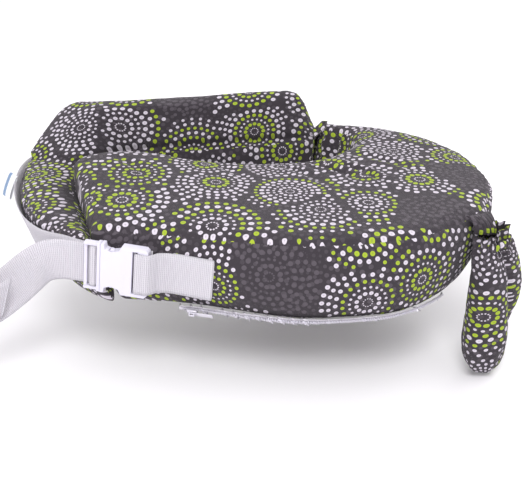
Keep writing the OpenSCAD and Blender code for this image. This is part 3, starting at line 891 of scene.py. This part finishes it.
teeth.data.polygons.foreach_set("use_smooth", [False] * len(teeth.data.polygons))
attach(teeth, "cushion")
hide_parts("zip_chain")

# ---------------------------------------------------------------- label

low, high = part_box("care_label")
label_x = (high.x + low.x) / 2
LABEL_WIDTH = 0.034
LABEL_FACE = [-0.42, 0.907, 0]  # along the seam at the round left end
LABEL_OUT = 0.003
LABEL_PATH = [
    [0.0045, 0.092], [0.0015, 0.089], [-0.0045, 0.076], [-0.0085, 0.064],
    [-0.0075, 0.0605], [-0.0050, 0.064], [-0.0012, 0.076], [0.003, 0.088],
]
label_rows = [[label_x - LABEL_OUT + x, (low.y + high.y) / 2, z] for x, z in LABEL_PATH]
label_line, _ = even(spline(label_rows, 90), 0.0012)
label_wide = np.tile(LABEL_FACE, (len(label_line), 1))
label = ribbon("care_label_loop", label_line, label_wide, LABEL_WIDTH, 0.0005, LABEL)
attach(label, "back_rest")
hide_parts("care_label")

# ---------------------------------------------------------------- gathered pouch

NECK_AT = np.array([0.231, -0.290, 0.082])
POUCH_TURN = math.radians(38.5)  # local x runs along the wall, and local -y faces out
POUCH_H = 0.180
POUCH_PRINT = 0.29  # how much print goes round the pouch
PRINT_DOWN = 1.25
POUCH_ROWS = [
    # share of the height, then for the front lobe its middle x, y and radii, and for the rear lobe the same
    [0.00, -0.014, 0.003, 0.021, 0.011, 0.016, 0.003, 0.014, 0.011],
    [0.06, -0.013, 0.003, 0.020, 0.011, 0.016, 0.003, 0.013, 0.011],
    [0.15, -0.013, 0.001, 0.024, 0.015, 0.027, 0.003, 0.018, 0.014],
    [0.30, -0.012, -0.002, 0.027, 0.020, 0.039, 0.003, 0.021, 0.018],
    [0.45, -0.011, -0.003, 0.029, 0.023, 0.045, 0.003, 0.022, 0.020],
    [0.60, -0.011, -0.005, 0.031, 0.025, 0.043, 0.002, 0.019, 0.018],
    [0.72, -0.012, -0.006, 0.033, 0.026, 0.031, 0.001, 0.013, 0.013],
    [0.84, -0.012, -0.006, 0.032, 0.024, 0.012, -0.002, 0.009, 0.009],
    [0.93, -0.012, -0.007, 0.025, 0.019, -0.005, -0.005, 0.008, 0.008],
    [0.98, -0.010, -0.007, 0.016, 0.012, -0.008, -0.007, 0.005, 0.005],
    [1.00, -0.008, -0.008, 0.006, 0.005, -0.008, -0.008, 0.003, 0.003],
]
AROUND, DOWN = 150, 120
POUCH_TURNED = np.array(Matrix.Rotation(POUCH_TURN, 2))
pouch_rows = spline(POUCH_ROWS, DOWN)
theta = np.linspace(0, 2 * math.pi, AROUND, endpoint=False)
verts, uv = [], []
for i, row in enumerate(pouch_rows):
    t = row[0]
    c = np.array([(row[1] + row[5]) / 2, (row[2] + row[6]) / 2])
    reach = []
    for x, y, a, b in ((row[1], row[2], row[3], row[4]), (row[5], row[6], row[7], row[8])):
        # distance from c to this lobe's ellipse along each direction, or 0 where it's missed
        dx, dy = np.cos(theta) / a, np.sin(theta) / b
        px, py = (c[0] - x) / a, (c[1] - y) / b
        qa, qb, qc = dx * dx + dy * dy, px * dx + py * dy, px * px + py * py - 1
        root = np.maximum(qb * qb - qa * qc, 0)
        reach.append(np.where(qb * qb - qa * qc > 0, (-qb + np.sqrt(root)) / qa, 0))
    # the lobes run into each other in a soft valley
    sharp = 180.0 / max(np.maximum(*reach).max(), 0.004)
    r = np.log(sum(np.exp(sharp * np.maximum(lobe, 0.001)) for lobe in reach)) / sharp
    gather = math.exp(-((t / 0.16) ** 2))
    hang = min(1, max(0, (t - 0.05) / 0.2)) * min(1, (1 - t) / 0.15 + 0.25)
    r = r * (1 + 0.16 * gather * np.cos(17 * theta + 0.6 * np.sin(3 * theta)))
    r = r + 0.0021 * hang * np.cos(5 * theta + 1.2 + 1.6 * t) * np.cos(2 * theta + 0.5)
    r = r + 0.0011 * hang * np.cos(9 * theta + 3 * t)
    for q, s in zip(theta, r):
        xy = POUCH_TURNED @ (c + s * np.array([math.cos(q), math.sin(q)]))
        verts.append([NECK_AT[0] + xy[0], NECK_AT[1] + xy[1], NECK_AT[2] - t * POUCH_H])
        uv.append([q / (2 * math.pi) * POUCH_PRINT, t * POUCH_H * PRINT_DOWN])
faces = [
    (i * AROUND + k, (i + 1) * AROUND + k, (i + 1) * AROUND + (k + 1) % AROUND, i * AROUND + (k + 1) % AROUND)
    for i in range(DOWN - 1)
    for k in range(AROUND)
]
pouch = mesh_object("pouch_cloth", verts, faces, PRINT)
index = np.zeros(len(pouch.data.loops), np.int32)
pouch.data.loops.foreach_get("vertex_index", index)
loop_uv = np.array(uv)[index].reshape(-1, 4, 2)
wrap = loop_uv[:, :, 0].max(1) - loop_uv[:, :, 0].min(1) > 0.1
wrapped = loop_uv[wrap, :, 0]
loop_uv[wrap, :, 0] = np.where(wrapped < 0.1, wrapped + POUCH_PRINT, wrapped)
layer = pouch.data.uv_layers.new(name="print")
layer.data.foreach_set("uv", (loop_uv + [2.13, 0.4]).astype(np.float32).ravel())
co, nrm = coords(pouch), normals(pouch)
wrinkles = 0.0016 * field(co, 45.0, 11.0, (1, 1, 0.45)) + 0.0007 * field(co, 130.0, 12.0, (1, 1, 0.6))
set_coords(pouch, co + nrm * wrinkles[:, None])
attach(pouch, "pouch")
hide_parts("pouch_bag")


def scrunch(name, rows, body, lumps, seed):
    """A gathered band: a closed ring of folded cloth, from rows of height and radius over the neck's oval."""
    verts, uv, n = [], [], 180
    for j, (z, grow) in enumerate(rows):
        for q in np.linspace(0, 2 * math.pi, n, endpoint=False):
            g = grow + 0.0012 * math.cos(lumps * q + seed) * math.cos(5 * q)
            g += 0.0008 * math.cos(2.3 * lumps * q)
            x, y = (0.027 + g) * math.cos(q), (0.0125 + g) * math.sin(q)
            verts.append(
                [
                    NECK_AT[0] + x * math.cos(POUCH_TURN) - y * math.sin(POUCH_TURN),
                    NECK_AT[1] + x * math.sin(POUCH_TURN) + y * math.cos(POUCH_TURN),
                    NECK_AT[2] + z + 0.0014 * math.cos(7 * q + seed),
                ]
            )
            uv.append([q * 0.03 + 3.1, z + 0.2 + j * 0.001])
    m = len(rows)
    faces = [
        (j * n + k, j * n + (k + 1) % n, ((j + 1) % m) * n + (k + 1) % n, ((j + 1) % m) * n + k)
        for j in range(m)
        for k in range(n)
    ]
    o = mesh_object(name, verts, faces, PRINT, uv)
    apply_modifier(o, "SUBSURF", levels=1, render_levels=1)
    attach(o, body)
    return o


GATHER_ROWS = [
    (-0.008, 0.001),
    (-0.011, 0.0035),
    (-0.015, 0.004),
    (-0.0185, 0.003),
    (-0.019, 0.001),
    (-0.0135, 0.0),
]
elastic = scrunch("pouch_neck_gather", GATHER_ROWS, "pouch", 23, 0.4)
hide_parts("pouch_neck_elastic")

# the folded tab of cover fabric that the pouch hangs from
NECK_FACING = math.radians(-51.5)
NECK_OUT = 0.0195
out = np.array([math.cos(NECK_FACING), math.sin(NECK_FACING), 0])
side = np.array([-out[1], out[0], 0])
base = np.array([NECK_AT[0], NECK_AT[1], 0]) - out * NECK_OUT
HOLD = [[0.0004, 0.0975], [0.004, 0.0965], [0.012, 0.0905], [0.0165, 0.0825], [0.0165, 0.076]]
hold_rows = spline([[r, z, w] for (r, z), w in zip(HOLD, (0.060, 0.058, 0.052, 0.050, 0.050))], 40)
verts, uv = [], []
ACROSS = 60
for i, (r, z, w) in enumerate(hold_rows):
    for k in range(ACROSS + 1):
        s = k / ACROSS - 0.5
        fold = 0.0013 * math.cos(s * 70) * i / len(hold_rows) + 0.0006 * math.cos(s * 31)
        p = base + out * (r + fold - 0.010 * (2 * s) ** 2 * min(1, 0.3 + i / 40)) + side * s * w
        verts.append([p[0], p[1], z - 0.012 * s])
        uv.append([s * w + 5.2, z + 0.3])
n = ACROSS + 1
faces = [
    (i * n + k, i * n + k + 1, (i + 1) * n + k + 1, (i + 1) * n + k)
    for i in range(len(hold_rows) - 1)
    for k in range(ACROSS)
]
hanger = mesh_object("pouch_hanger_cloth", verts, faces, PRINT, uv)
apply_modifier(hanger, "SOLIDIFY", thickness=0.0012, offset=0.0)
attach(hanger, "cushion")
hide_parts("pouch_tab")

# ---------------------------------------------------------------- floor


def pale(g):
    at = g.node("ShaderNodeTexCoord").outputs["Object"]
    return None, g.noise(at, 60.0), 0.00005


floor_mat = material("floor", 0.9, pale, base=(0.93, 0.92, 0.94), Specular_IOR_Level=0.1)
floor = mesh_object(
    "floor",
    [(-14, -14, FLOOR_Z), (14, -14, FLOOR_Z), (14, 14, FLOOR_Z), (-14, 14, FLOOR_Z)],
    [(0, 1, 2, 3)],
    floor_mat,
)
